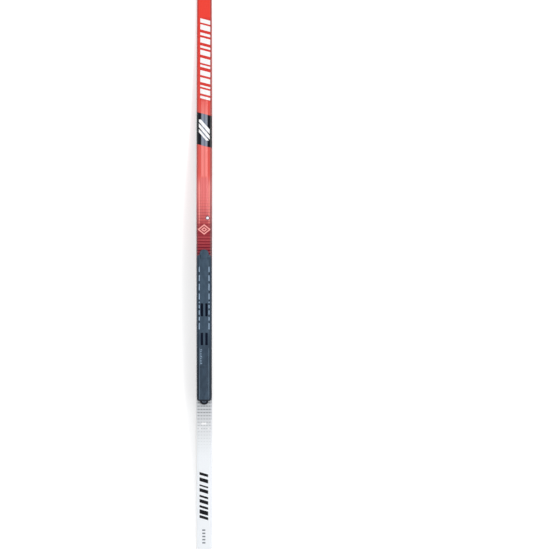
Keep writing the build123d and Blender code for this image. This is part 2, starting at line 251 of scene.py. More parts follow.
def roof_z(x, y):
    """Outer surface of the cap."""
    over = abs(y) - FLAT_HALF
    drop = SHOULDER_FALL * (over + math.hypot(over, SHOULDER_ROUNDING)) / 2
    drop -= SHOULDER_FALL * (-FLAT_HALF + math.hypot(FLAT_HALF, SHOULDER_ROUNDING)) / 2
    return top_z(x) - drop + spine(x, y)


# ---- mesh helpers ----------------------------------------------------
SWEPT_ANGLE = 40.0              # degrees: sharper edges than this stay sharp
MOULDED_ANGLE = 35.0


def new_object(name, verts, faces):
    mesh = bpy.data.meshes.new(name)
    mesh.from_pydata([tuple(v) for v in verts], [], faces)
    mesh.validate()
    bm = bmesh.new()
    bm.from_mesh(mesh)
    bmesh.ops.recalc_face_normals(bm, faces=bm.faces)
    bm.to_mesh(mesh)
    bm.free()
    obj = bpy.data.objects.new(name, mesh)
    bpy.context.collection.objects.link(obj)
    shade(obj, SWEPT_ANGLE)
    return obj


def shade(obj, angle):
    mesh = obj.data
    mesh.polygons.foreach_set("use_smooth", [True] * len(mesh.polygons))
    mesh.set_sharp_from_angle(angle=math.radians(angle))


def settle(obj):
    """Applies every modifier."""
    depsgraph = bpy.context.evaluated_depsgraph_get()
    done = bpy.data.meshes.new_from_object(obj.evaluated_get(depsgraph))
    old = obj.data
    obj.modifiers.clear()
    obj.data = done
    done.name = old.name
    bpy.data.meshes.remove(old)


TIP_JOINT = x_tip - 29.0 * MM
TAIL_JOINT = x_tail + 24.0 * MM
JOINT_BOW = 12.0 * MM           # how far the joint bows over BOW_HALF sideways
BOW_HALF = 30.0 * MM
BOW_RUN = 80.0 * MM             # length over which the pieces take up the bow


def bowed(x, y):
    """Moves points near either end onto the bowed joints with the end mouldings."""
    bow = JOINT_BOW * (y / BOW_HALF) ** 2
    at_tip = smooth(TIP_JOINT - BOW_RUN, TIP_JOINT, x)
    at_tail = smooth(TAIL_JOINT + BOW_RUN, TAIL_JOINT, x)
    return x - bow * at_tip + bow * at_tail


def sweep(name, stations, section):
    """A closed bar along the ski. section(x) lists (y, height function of x and y) round the bar."""
    verts, faces = [], []
    count = None
    for x in stations:
        loop = section(x)
        count = len(loop)
        for y, height in loop:
            xb = bowed(x, y)
            verts.append((xb, y, height(xb, y)))
    for i in range(len(stations) - 1):
        for j in range(count):
            k = (j + 1) % count
            faces.append((i * count + j, i * count + k, (i + 1) * count + k, (i + 1) * count + j))
    half = count // 2
    last = (len(stations) - 1) * count
    for j in range(half - 1):
        a, b, c, d = j, j + 1, count - 2 - j, count - 1 - j
        if c == b:
            continue
        faces.append((a, b, c, d))
        faces.append((last + a, last + b, last + c, last + d))
    return new_object(name, verts, faces)


SWEEP_STEP = 6.0 * MM
FILLER_STEP = 4.0 * MM


def stations_between(lo, hi, step=SWEEP_STEP):
    count = max(int(round((hi - lo) / step)), 2)
    return [lo + (hi - lo) * i / count for i in range(count + 1)]


def over_base(extra):
    return lambda x, y: base_z(x) + extra


def under_roof(extra):
    return lambda x, y: roof_z(x, y) - extra


CORE_FRONT = tip_flat_end + CORE_REACH
CORE_REAR = tail_flat_end - CORE_REACH
EDGE_INSET = 5.0 * MM
EDGE_FRONT = x_tip - NOSE_TAPER - EDGE_INSET
EDGE_REAR = x_tail + HEEL_TAPER + EDGE_INSET
HAIR = 0.02 * MM                # keeps the sides just inside the CAD outline
FLAT_MARGIN = 0.5 * MM          # the flat's outermost row stands this far inside the crease
NARROW_SHARE = 0.82             # share of the half width that is flat where the ski is narrow

ACROSS_MM = [0, 0.7, 1.5, 2.3, 3.1, 4.0, 5.0, 6.0, 6.7, 7.4, 8.1, 8.8, 9.5, 10.4, 12.4, 14.4, 16.2, 17.2]
SHOULDER_SHARES = [0.12, 0.26, 0.42, 0.6, 0.8, 1.0]


def side_y(x):
    return half_width(x) - HAIR


def across(x):
    """Lateral positions from right to left over the cap."""
    w = side_y(x)
    full_flat = FLAT_HALF - FLAT_MARGIN
    flat = min(full_flat, NARROW_SHARE * w)
    half = [a * MM * flat / full_flat for a in ACROSS_MM]
    half += [flat + s * (w - flat) for s in SHOULDER_SHARES]
    return [-y for y in reversed(half[1:])] + half


def skin_section(x):
    line = across(x)
    outer = [(y, under_roof(0.0)) for y in line]
    inner = [(y, under_roof(SKIN)) for y in reversed(line)]
    return outer + inner


def laminate_section(x):
    line = across(x)[::3]
    outer = [(y, under_roof(SKIN)) for y in line]
    inner = [(y, under_roof(SKIN + LAMINATE)) for y in reversed(line)]
    return outer + inner


def lower_section(x):
    w = side_y(x)
    bottom = [(-w, over_base(SHEET)), (w, over_base(SHEET))]
    return bottom + [(w, over_base(SHEET + LAMINATE)), (-w, over_base(SHEET + LAMINATE))]


def filling_section(x):
    w = side_y(x)
    line = [-w, -0.9 * w, -0.6 * w, 0, 0.6 * w, 0.9 * w, w]
    bottom = [(y, over_base(SHEET + LAMINATE)) for y in line]
    return bottom + [(y, under_roof(SKIN + LAMINATE)) for y in reversed(line)]


def sidewall_section(side):
    def section(x):
        w = side_y(x)
        line = [w - SIDEWALL, w - 0.6 * SIDEWALL, w - 0.3 * SIDEWALL, w]
        low = [(side * y, over_base(SHEET + LAMINATE)) for y in line]
        return low + [(side * y, under_roof(SKIN + LAMINATE)) for y in reversed(line)]

    return section


EDGE_CHAMFER = 0.25 * MM


def edge_section(side):
    def section(x):
        w = side_y(x)
        return [
            (side * (w - EDGE_WIDTH), over_base(0)),
            (side * (w - EDGE_CHAMFER), over_base(0)),
            (side * w, over_base(EDGE_CHAMFER)),
            (side * w, over_base(SHEET)),
            (side * (w - EDGE_WIDTH), over_base(SHEET)),
            (side * (w - EDGE_WIDTH), over_base(0.5 * SHEET)),
        ]

    return section


GROOVE_FRONT = tip_flat_end + GROOVE_TIP_REACH
GROOVE_REAR = tail_flat_end - GROOVE_TAIL_REACH
GROOVE_RUN_OUT = 4.0 * MM
# Half of the groove across: share of its half width, share of its depth.
GROOVE_SHAPE = [(0.35, 1), (0.8, 0.75), (1.0, 0)]


def sole_section(x):
    w = side_y(x)
    if EDGE_REAR <= x <= EDGE_FRONT:
        w -= EDGE_WIDTH
    depth = GROOVE_DEPTH * smooth(GROOVE_REAR, GROOVE_REAR + GROOVE_RUN_OUT, x)
    depth *= 1 - smooth(GROOVE_FRONT - GROOVE_RUN_OUT, GROOVE_FRONT, x)
    half = [(share * GROOVE_HALF, d) for share, d in GROOVE_SHAPE] + [(0.5 * w, 0), (w, 0)]
    shape = [(-y, d) for y, d in reversed(half)] + half
    bottom = [(y, over_base(depth * d)) for y, d in shape]
    top = [(y, over_base(SHEET)) for y, _ in reversed(shape)]
    return bottom + top


STEP_GAP = 0.01 * MM


def with_steps(stations, steps):
    """Adds a pair of stations at each step, just before and just after it."""
    extra = [s + d for s in steps for d in (-STEP_GAP, STEP_GAP)]
    return sorted(set(stations) | set(extra))


full = stations_between(TAIL_JOINT, TIP_JOINT)
sole_stations = with_steps(full, [EDGE_REAR, EDGE_FRONT])
cored = stations_between(CORE_REAR, CORE_FRONT)

tip_end = stations_between(CORE_FRONT, TIP_JOINT, FILLER_STEP)
tail_end = stations_between(TAIL_JOINT, CORE_REAR, FILLER_STEP)
edged = stations_between(EDGE_REAR, EDGE_FRONT)


def piece(obj, node):
    """Makes an object part of the ski: it rides on the body and may stand in for a CAD node."""
    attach(obj, "root")
    if node:
        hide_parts(node)
    return obj


def swept(name, stations, section, node):
    return piece(sweep(name, stations, section), node)


top_sheet = swept("printed_top_sheet", full, skin_section, "top_sheet")
upper_laminate = swept("upper_laminate_layer", full, laminate_section, "upper_carbon_laminate")
lower_laminate = swept("lower_laminate_layer", full, lower_section, "lower_carbon_laminate")
sole = swept("running_sole", sole_stations, sole_section, "running_base")
tip_filler = swept("tip_filler", tip_end, filling_section, "tip_spacer")
tail_filler = swept("tail_filler", tail_end, filling_section, "tail_spacer")
sidewalls = []
edges = []
for side, hand in ((1, "left"), (-1, "right")):
    wall = swept(f"{hand}_side_wall", cored, sidewall_section(side), f"{hand}_sidewall")
    sidewalls.append(wall)
    edge = swept(f"{hand}_running_edge", edged, edge_section(side), f"{hand}_base_edge")
    edges.append(edge)


def rounded(obj, width_mm, segments=2):
    """Rounds the sharp edges."""
    bevel = obj.modifiers.new("rounding", "BEVEL")
    bevel.width = width_mm * MM
    bevel.segments = segments
    bevel.limit_method = "ANGLE"
    bevel.angle_limit = math.radians(MOULDED_ANGLE)
    bevel.use_clamp_overlap = True
    settle(obj)


# ---- rounded copies of the end mouldings -----------------------------
MERGE_DISTANCE = 0.001 * MM
FLAT_ANGLE = math.radians(1.0)
END_ROUNDING_MM = 0.9


def softened_copy(node, name):
    """A copy of a CAD end moulding with its flat faces merged and its edges rounded."""
    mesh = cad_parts[node].data.copy()
    mesh.name = name
    obj = bpy.data.objects.new(name, mesh)
    bpy.context.collection.objects.link(obj)
    bm = bmesh.new()
    bm.from_mesh(mesh)
    bmesh.ops.remove_doubles(bm, verts=bm.verts, dist=MERGE_DISTANCE)
    bmesh.ops.dissolve_limit(bm, angle_limit=FLAT_ANGLE, verts=bm.verts, edges=bm.edges)
    bm.to_mesh(mesh)
    bm.free()
    rounded(obj, END_ROUNDING_MM, 3)
    shade(obj, MOULDED_ANGLE)
    return piece(obj, node)


tip_cap = softened_copy("tip_protector", "tip_cap")
tail_cap = softened_copy("tail_protector", "tail_cap")

# ---- binding plate, in millimetres: made flat, then laid on the arch -
PLATE_MM = 440.0
PLATE_WIDTH = 41.4
DECK_WIDTH = 30.6
WEB_WIDTH = 23.0
TONGUE_WIDTH = 25.6
FLANGE_TOP = 1.3
UNDERCUT_TOP = 2.6
DECK_TOP = 3.8
TOOTH_TOP = 4.5
SLOT_FLOOR = 1.6
FLANGE_START = 15.0
FLANGE_CORNER = 7.5
TONGUE_CORNER = 11.5
KEY_TOP = 3.0
FLANGE_END = 430.0
STOP_WIDTH = 24.0
STOP_CORNER = 9.5
DECK_START = 27.0
TOOTH_SHARES = [
    (0.111, 0.146), (0.165, 0.203), (0.220, 0.264), (0.283, 0.323), (0.335, 0.346),
    (0.357, 0.380), (0.391, 0.421), (0.434, 0.459), (0.473, 0.516),
]
SLOT_SHARES = [(0.347, 0.431), (0.537, 0.617)]
SLOT_OFFSET = 6.6
SLOT_WIDTH = 7.0
SLOT_CORNER = 1.2
LIP_DEPTH = 3.0
NOTCH_DEPTH = 3.2
RACK_PITCH = 3.0
RACK_TOOTH = 1.3
LABEL_START = 0.634 * PLATE_MM
LABEL_END = 0.743 * PLATE_MM
GROOVE_START = 0.755 * PLATE_MM
GROOVE_LENGTH = 2.4
RIB_START = 0.775 * PLATE_MM
RIB_PITCH = 4.0
RIB_LENGTH = 1.8
KEY_LENGTH = 8.0
KEY_WIDTH = 9.0
KEY_CLEAR = 0.05                # between the stop's key and its pocket
CLEAR = 2.0                     # how far cutters stand proud of the deck
SUNK = 0.1                      # how far moulded details reach into the piece beside or below


def rounded_rectangle(start, end, width, radius_front, radius_rear, offset=0.0, steps=8):
    """Outline points in plate millimetres: s runs back from the front, y to the left."""
    points = []
    corners = [
        (start + radius_front, offset + width / 2 - radius_front, radius_front, 90, 180),
        (start + radius_front, offset - width / 2 + radius_front, radius_front, 180, 270),
        (end - radius_rear, offset - width / 2 + radius_rear, radius_rear, 270, 360),
        (end - radius_rear, offset + width / 2 - radius_rear, radius_rear, 0, 90),
    ]
    for cs, cy, radius, a0, a1 in corners:
        if radius <= 0:
            points.append((cs, cy))
            continue
        for i in range(steps + 1):
            angle = math.radians(a0 + (a1 - a0) * i / steps)
            points.append((cs + radius * math.cos(angle), cy + radius * math.sin(angle)))
    return points


def slab(name, points, low, high, taper=0.0):
    """A flat block over an outline, in plate millimetres; taper pulls the top outline in."""
    bm = bmesh.new()
    centre_s = sum(p[0] for p in points) / len(points)
    centre_y = sum(p[1] for p in points) / len(points)
    bottom = [bm.verts.new((-s * MM, y * MM, low * MM)) for s, y in points]
    top = []
    for s, y in points:
        ds, dy = s - centre_s, y - centre_y
        ts = s - math.copysign(min(taper, abs(ds)), ds)
        ty = y - math.copysign(min(taper, abs(dy)), dy)
        top.append(bm.verts.new((-ts * MM, ty * MM, high * MM)))
    bm.faces.new(list(reversed(bottom)))
    bm.faces.new(top)
    count = len(points)
    for i in range(count):
        j = (i + 1) % count
        bm.faces.new((bottom[i], bottom[j], top[j], top[i]))
    bmesh.ops.recalc_face_normals(bm, faces=bm.faces)
    mesh = bpy.data.meshes.new(name)
    bm.to_mesh(mesh)
    bm.free()
    obj = bpy.data.objects.new(name, mesh)
    bpy.context.collection.objects.link(obj)
    return obj


def bead(name, path, width, low, high):
    """A small moulded rib with a rounded top along a path of (s, y) places on the plate."""
    middle = 0.5 * (low + high)
    section = [(-0.5, low), (-0.5, middle), (-0.25, high), (0.25, high), (0.5, middle), (0.5, low)]
    verts, faces = [], []
    for i, (s, y) in enumerate(path):
        s0, y0 = path[max(i - 1, 0)]
        s1, y1 = path[min(i + 1, len(path) - 1)]
        run = math.hypot(s1 - s0, y1 - y0)
        for share, z in section:
            aside = share * width
            verts.append((-(s - aside * (y1 - y0) / run) * MM, (y + aside * (s1 - s0) / run) * MM, z * MM))
    count = len(section)
    for i in range(len(path) - 1):
        for j in range(count):
            k = (j + 1) % count
            faces.append((i * count + j, i * count + k, (i + 1) * count + k, (i + 1) * count + j))
    faces.append(tuple(range(count)))
    faces.append(tuple((len(path) - 1) * count + j for j in range(count)))
    return new_object(name, verts, faces)


def joined(name, objs):
    """One object from several, each a closed shell of its own."""
    bm = bmesh.new()
    for obj in objs:
        bm.from_mesh(obj.data)
        old = obj.data
        bpy.data.objects.remove(obj)
        bpy.data.meshes.remove(old)
    mesh = bpy.data.meshes.new(name)
    bm.to_mesh(mesh)
    bm.free()
    obj = bpy.data.objects.new(name, mesh)
    bpy.context.collection.objects.link(obj)
    return obj


def cut(obj, cutters):
    """Takes the cutters out of an object and deletes them."""
    tool = joined(obj.name + "_tool", cutters)
    boolean = obj.modifiers.new("cut", "BOOLEAN")
    boolean.operation = "DIFFERENCE"
    boolean.solver = "EXACT"
    boolean.use_self = True
    boolean.object = tool
    settle(obj)
    mesh = tool.data
    bpy.data.objects.remove(tool)
    bpy.data.meshes.remove(mesh)


ARCH_STEP = 8.0 * MM


def slice_at(bm, place, normal):
    """Cuts every face of a mesh along a plane."""
    parts = bm.verts[:] + bm.edges[:] + bm.faces[:]
    bmesh.ops.bisect_plane(bm, geom=parts, plane_co=place, plane_no=normal)


def lay_on_arch(obj, wrap=False):
    """Cuts a flat plate piece across at even steps and drops it onto the arch of the ski."""
    bm = bmesh.new()
    bm.from_mesh(obj.data)
    lo = min(v.co.x for v in bm.verts)
    hi = max(v.co.x for v in bm.verts)
    for i in range(1, int((hi - lo) / ARCH_STEP)):
        slice_at(bm, (hi - i * ARCH_STEP, 0, 0), (1, 0, 0))
    for v in bm.verts:
        v.co.x += plate_front
        over = abs(v.co.y) - FLAT_HALF
        fall = SHOULDER_FALL * max(over, 0) if wrap else 0.0
        v.co.z += top_z(v.co.x) + GLUE - fall
    bm.to_mesh(obj.data)
    bm.free()
    shade(obj, MOULDED_ANGLE)
    return obj


flange_points = rounded_rectangle(FLANGE_START, FLANGE_END, PLATE_WIDTH, FLANGE_CORNER, FLANGE_CORNER)
flange = slab("flange", flange_points, 0.0, FLANGE_TOP)
bm = bmesh.new()
bm.from_mesh(flange.data)
for y in (-FLAT_HALF, FLAT_HALF):
    slice_at(bm, (0, y, 0), (0, 1, 0))
bm.to_mesh(flange.data)
bm.free()
rounded(flange, 0.45, 3)
flange = lay_on_arch(flange, wrap=True)

foot_points = rounded_rectangle(0, FLANGE_START + 40, TONGUE_WIDTH, TONGUE_CORNER, 0.5)
tongue_foot = slab("tongue_foot", foot_points, 0.0, FLANGE_TOP)
rounded(tongue_foot, 0.4, 2)
tongue_points = rounded_rectangle(3.0, DECK_START + 8, TONGUE_WIDTH - 6.0, 9.0, 0.5)
tongue = slab("tongue", tongue_points, 0.2, UNDERCUT_TOP + SUNK, taper=0.7)
rounded(tongue, 0.5, 3)

deck = slab("deck", rounded_rectangle(DECK_START, FLANGE_END, DECK_WIDTH, 3.0, 3.0), 0.2, DECK_TOP)
cutters = []
reach = (DECK_WIDTH - WEB_WIDTH) / 2 + 2.0
for side in (-1, 1):
    beside = side * (WEB_WIDTH + reach) / 2
    undercut = rounded_rectangle(DECK_START - 2, FLANGE_END - 20, reach, 0, 0, beside)
    cutters.append(slab("c", undercut, FLANGE_TOP, UNDERCUT_TOP))
    for (_, start), (end, _) in zip(TOOTH_SHARES, TOOTH_SHARES[1:]):
        notch = rounded_rectangle(start * PLATE_MM, end * PLATE_MM, NOTCH_DEPTH, 0, 0, side * DECK_WIDTH / 2)
        cutters.append(slab("c", notch, UNDERCUT_TOP - 0.2, DECK_TOP + CLEAR))
    for start, end in SLOT_SHARES:
        place = (start * PLATE_MM, end * PLATE_MM)
        slot = rounded_rectangle(*place, SLOT_WIDTH, SLOT_CORNER, SLOT_CORNER, side * SLOT_OFFSET, 4)
        cutters.append(slab("c", slot, SLOT_FLOOR, DECK_TOP + CLEAR))
recess = rounded_rectangle(LABEL_START, LABEL_END, WEB_WIDTH, 2.0, 2.0, 0, 4)
cutters.append(slab("c", recess, DECK_TOP - 0.4, DECK_TOP + CLEAR))
groove = rounded_rectangle(GROOVE_START, GROOVE_START + GROOVE_LENGTH, DECK_WIDTH + 2, 0, 0)
cutters.append(slab("c", groove, DECK_TOP - 0.9, DECK_TOP + CLEAR))
pocket = rounded_rectangle(FLANGE_END - KEY_LENGTH, FLANGE_END + 1, KEY_WIDTH, 0, 0)
cutters.append(slab("c", pocket, FLANGE_TOP, KEY_TOP))
cut(deck, cutters)
rounded(deck, 0.22, 2)

details = []
for start, end in TOOTH_SHARES:
    for side in (-1, 1):
        offset = side * (DECK_WIDTH - LIP_DEPTH) / 2
        tooth = rounded_rectangle(start * PLATE_MM, end * PLATE_MM, LIP_DEPTH, 0.6, 0.6, offset, 3)
        details.append(slab("tooth", tooth, UNDERCUT_TOP + SUNK, TOOTH_TOP, taper=0.35))
teeth = joined("rail_teeth", details)
rounded(teeth, 0.18, 2)

details = []
rack_start, rack_end = (share * PLATE_MM for share in SLOT_SHARES[0])
for index in range(int((rack_end - rack_start) / RACK_PITCH)):
    for side in (-1, 1):
        s = rack_start + 2.0 + index * RACK_PITCH
        rack = rounded_rectangle(s, s + RACK_TOOTH, SLOT_WIDTH + SUNK, 0, 0, side * SLOT_OFFSET)
        details.append(slab("rack", rack, SLOT_FLOOR - 0.3, DECK_TOP - 0.8, taper=0.2))
racks = joined("rack_teeth", details)
rounded(racks, 0.1, 1)

details = []
for index in range(int((FLANGE_END - KEY_LENGTH - RIB_START) / RIB_PITCH)):
    s = RIB_START + index * RIB_PITCH
    rib = rounded_rectangle(s, s + RIB_LENGTH, WEB_WIDTH, 0.4, 0.4, 0, 2)
    details.append(slab("rib", rib, DECK_TOP - 0.4, DECK_TOP + 0.4, taper=0.3))
ribs = joined("heel_ribs", details)
rounded(ribs, 0.12, 1)

# A small generic scale of ticks moulded into the recess.
TICK_START = 0.645 * PLATE_MM
TICK_PITCH = 4.9
TICK_LENGTH = 1.9
details = []
for index in range(9):
    s = TICK_START + index * TICK_PITCH
    width = 5.2 if index % 4 == 0 else 3.4
    tick = rounded_rectangle(s, s + TICK_LENGTH, width, 0, 0, 11.2 - width / 2)
    details.append(slab("tick", tick, DECK_TOP - 0.6, DECK_TOP - 0.12))
ticks = joined("position_scale", details)
rounded(ticks, 0.08, 1)

# Thin raised lips along the heel part of the deck.
HEEL_LIP_PLACE = 13.0
HEEL_LIP_WIDTH = 1.5
details = []
for side in (-1, 1):
    path = [(LABEL_START, side * HEEL_LIP_PLACE), (FLANGE_END - 4.0, side * HEEL_LIP_PLACE)]
    details.append(bead("lip", path, HEEL_LIP_WIDTH, DECK_TOP - 0.3, DECK_TOP + 0.3))
lips = joined("heel_lips", details)

stop_points = rounded_rectangle(FLANGE_END, PLATE_MM, STOP_WIDTH, 0, STOP_CORNER, 0, 14)
stop = slab("rear_stop", stop_points, -GLUE / MM, DECK_TOP)
rounded(stop, 0.7, 3)
key_points = rounded_rectangle(FLANGE_END - KEY_LENGTH, FLANGE_END + 1, KEY_WIDTH - 2 * KEY_CLEAR, 0, 0)
key = slab("stop_key", key_points, FLANGE_TOP + KEY_CLEAR, KEY_TOP - KEY_CLEAR)
rounded(key, 0.15, 1)

# A half-round rim moulded on the stop; its pale colour is a painted highlight.
RIM_LEAD, RIM_DEPTH, RIM_HALF, RIM_STEPS = 0.6, 2.4, 5.0, 16
rim_path = []
for i in range(RIM_STEPS + 1):
    angle = math.pi * i / RIM_STEPS
    rim_path.append((FLANGE_END + RIM_LEAD + RIM_DEPTH * math.sin(angle), RIM_HALF * math.cos(angle)))
rim = bead("stop_rim", rim_path, 1.1, DECK_TOP - 0.3, DECK_TOP + 0.25)

plate_body = joined("plate_body", [flange] + [lay_on_arch(o) for o in (tongue_foot, tongue, deck)])
shade(plate_body, MOULDED_ANGLE)
piece(plate_body, "binding_plate")
for obj in (teeth, racks, ribs, ticks, lips):
    piece(lay_on_arch(obj), None)
rear_stop = joined("rear_stop_body", [lay_on_arch(stop), lay_on_arch(key)])
shade(rear_stop, MOULDED_ANGLE)
piece(rear_stop, "plate_rear_stop")
piece(lay_on_arch(rim), None)


# ---- shader helper: numbers in a node tree ---------------------------
class Field:
    """A number worked out in a shader tree; arithmetic on it adds Math nodes."""

    def __init__(self, tree, socket):
        self.tree = tree
        self.socket = socket

    def op(self, kind, *others):
        node = self.tree.nodes.new("ShaderNodeMath")
        node.operation = kind
        for i, value in enumerate((self,) + others):
            if isinstance(value, Field):
                self.tree.links.new(value.socket, node.inputs[i])
            else:
                node.inputs[i].default_value = value
        return Field(self.tree, node.outputs[0])

    def __add__(self, other):
        return self.op("ADD", other)

    def __sub__(self, other):
        return self.op("SUBTRACT", other)

    def __mul__(self, other):
        return self.op("MULTIPLY", other)

    def abs(self):
        return self.op("ABSOLUTE")

    def repeat(self, period):
        """Distance into a repeating pattern, 0 to period."""
        return self.op("WRAP", period, 0.0)

    def rise(self, lo, hi):
        """0 below lo, 1 above hi, straight between."""
        node = self.tree.nodes.new("ShaderNodeMapRange")
        node.inputs["From Min"].default_value = lo
        node.inputs["From Max"].default_value = hi
        self.tree.links.new(self.socket, node.inputs["Value"])
        return Field(self.tree, node.outputs["Result"])

    def band(self, lo, hi, soft=0.25):
        """1 between lo and hi."""
        return self.rise(lo - soft / 2, lo + soft / 2) * self.rise(hi + soft / 2, hi - soft / 2)


def srgb(r, g, b):
    def linear(c):
        c /= 255
        return c / 12.92 if c <= 0.04045 else ((c + 0.055) / 1.055) ** 2.4

    return (linear(r), linear(g), linear(b), 1.0)


NOISE_ROUGHNESS = 0.55


class Paint:
    """Builds one material: a Principled shader, object coordinates in millimetres, and colour layers."""

    def __init__(self, name, **shader):
        self.material = bpy.data.materials.new(name)
        self.material.use_nodes = True
        self.tree = self.material.node_tree
        self.nodes = self.tree.nodes
        self.links = self.tree.links
        self.shader = self.nodes["Principled BSDF"]
        for key, value in shader.items():
            self.shader.inputs[key.replace("_", " ")].default_value = value
        coords = self.nodes.new("ShaderNodeTexCoord")
        scale = self.nodes.new("ShaderNodeVectorMath")
        scale.operation = "SCALE"
        scale.inputs["Scale"].default_value = 1 / MM
        self.links.new(coords.outputs["Object"], scale.inputs[0])
        self.vector = scale.outputs[0]
        split = self.nodes.new("ShaderNodeSeparateXYZ")
        self.links.new(self.vector, split.inputs[0])
        self.x = Field(self.tree, split.outputs[0])
        self.y = Field(self.tree, split.outputs[1])
        self.z = Field(self.tree, split.outputs[2])
        self.colour = None
        self.bumps = []

    def stretched(self, sx, sy, sz):
        node = self.nodes.new("ShaderNodeVectorMath")
        node.operation = "MULTIPLY"
        node.inputs[1].default_value = (sx, sy, sz)
        self.links.new(self.vector, node.inputs[0])
        return node.outputs[0]

    def noise(self, scale, detail=3.0, stretch=(1, 1, 1)):
        node = self.nodes.new("ShaderNodeTexNoise")
        node.inputs["Scale"].default_value = scale
        node.inputs["Detail"].default_value = detail
        node.inputs["Roughness"].default_value = NOISE_ROUGHNESS
        self.links.new(self.stretched(*stretch), node.inputs["Vector"])
        return Field(self.tree, node.outputs["Fac"])

    def base(self, colour):
        if isinstance(colour, tuple):
            node = self.nodes.new("ShaderNodeRGB")
            node.outputs[0].default_value = colour
            self.colour = node.outputs[0]
        else:
            self.colour = colour

    def ramp(self, field, stops, lo, hi, steps=False):
        """Colours along a field running from lo to hi. stops is a list of (value, colour)."""
        node = self.nodes.new("ShaderNodeValToRGB")
        node.color_ramp.interpolation = "CONSTANT" if steps else "LINEAR"
        self.links.new(field.rise(lo, hi).socket, node.inputs[0])
        elements = node.color_ramp.elements
        while len(elements) < len(stops):
            elements.new(0.5)
        places = [(value - lo) / (hi - lo) for value, _ in stops]
        for element, place in zip(elements, places):
            element.position = place
        for element, (_, colour) in zip(elements, stops):
            element.color = colour
        return node.outputs["Color"]

    def bars(self, field, bars, lo, hi):
        """1 inside each (start, end) bar, 0 between."""
        black, white = (0, 0, 0, 1), (1, 1, 1, 1)
        stops = [(lo, black)]
        for start, end in bars:
            stops.append((start, white))
            stops.append((end, black))
        return Field(self.tree, self.ramp(field, stops, lo, hi, steps=True))

    def layer(self, colour, mask, blend="MIX"):
        """Lays a colour over what is there, where the mask is 1."""
        node = self.nodes.new("ShaderNodeMix")
        node.data_type = "RGBA"
        node.blend_type = blend
        node.clamp_factor = True
        self.links.new(mask.socket, node.inputs[0])
        self.links.new(self.colour, node.inputs[6])
        node.inputs[7].default_value = colour
        self.colour = node.outputs[2]

    def bump(self, field, height_mm, strength=1.0):
        node = self.nodes.new("ShaderNodeBump")
        node.inputs["Distance"].default_value = height_mm * MM
        node.inputs["Strength"].default_value = strength
        self.links.new(field.socket, node.inputs["Height"])
        if self.bumps:
            self.links.new(self.bumps[-1], node.inputs["Normal"])
        self.bumps.append(node.outputs["Normal"])

    def roughness(self, field, lo, hi):
        node = self.nodes.new("ShaderNodeMapRange")
        node.inputs["To Min"].default_value = lo
        node.inputs["To Max"].default_value = hi
        self.links.new(field.socket, node.inputs["Value"])
        self.links.new(node.outputs["Result"], self.shader.inputs["Roughness"])

    def done(self):
        self.links.new(self.colour, self.shader.inputs["Base Color"])
        if self.bumps:
            self.links.new(self.bumps[-1], self.shader.inputs["Normal"])
        return self.material


def use(material, *objs):
    for obj in objs:
        obj.data.materials.clear()
        obj.data.materials.append(material)


# ---- printed top sheet -----------------------------------------------
RED = srgb(240, 66, 54)
# The next two colours are the painted reflection of the spine on the red.
RED_RIDGE_REFLECTION = srgb(250, 136, 130)
RED_VALLEY_REFLECTION = srgb(232, 122, 116)
NAVY = srgb(6, 11, 24)
# The next two colours are the painted reflection of the spine on the navy.
NAVY_RIDGE_REFLECTION = srgb(142, 150, 166)
NAVY_VALLEY_REFLECTION = srgb(112, 124, 144)
PINK = srgb(255, 172, 166)
WHITE = srgb(243, 247, 251)
WHITE_INK = srgb(252, 252, 253)

paint = Paint("printed_top", Roughness=0.30, Coat_Weight=0.2, Coat_Roughness=0.12, IOR=1.45)
x, y = paint.x, paint.y
side = y.abs()
paint.base(
    paint.ramp(
        x,
        [
            (-960, WHITE),
            (-566, WHITE),
            (-528, srgb(236, 240, 243)),
            (-482, srgb(224, 227, 230)),
            (-436, srgb(205, 208, 212)),
            (-406, srgb(196, 200, 204)),
            (-402, srgb(34, 46, 60)),
            (-14, srgb(34, 46, 60)),
            (-6, srgb(104, 18, 38)),
            (22, srgb(134, 28, 44)),
            (44, srgb(162, 48, 58)),
            (66, srgb(178, 68, 74)),
            (90, srgb(196, 88, 90)),
            (112, srgb(206, 98, 98)),
            (136, srgb(216, 106, 106)),
            (160, srgb(232, 118, 114)),
            (182, srgb(242, 128, 123)),
            (204, srgb(242, 128, 122)),
            (222, srgb(236, 110, 104)),
            (236, srgb(228, 93, 84)),
            (410, srgb(224, 88, 80)),
            (450, srgb(234, 76, 66)),
            (560, RED),
            (720, srgb(243, 68, 55)),
            (950, srgb(236, 58, 47)),
        ],
        -960,
        960,
    )
)

# Painted reflection of the spine: two light bands over the ridges and a dimmer one over the valley.
ridges = side.band(1.2, 8.8, 2.6)
valley = side.rise(2.6, 0.4)
spine_zone = x.rise(232, 224) * -1.0 + 1.0
spine_fade = x.rise(480, 400)
paint.layer(RED_RIDGE_REFLECTION, ridges * spine_zone * spine_fade)
paint.layer(RED_VALLEY_REFLECTION, valley * spine_zone * spine_fade)
# Between x 86 and 226 mm the painted reflection of the spine widens: a pink top with darker lines in it and
# bright painted highlights along its flanks.
wide_zone = x.band(86, 226, 5)
paint.layer(srgb(232, 118, 118), side.rise(11.0, 10.4) * wide_zone * x.rise(110, 180) * 0.8)
paint.layer(srgb(255, 156, 148), side.band(12.0, 15.4, 0.8) * x.band(92, 210, 26) * 0.86)
paint.layer(srgb(196, 72, 76), side.band(10.8, 11.9, 0.5) * x.band(98, 222, 12) * 0.6)
paint.layer(srgb(206, 84, 84), side.band(4.2, 5.4, 0.6) * x.band(100, 226, 8) * 0.30)

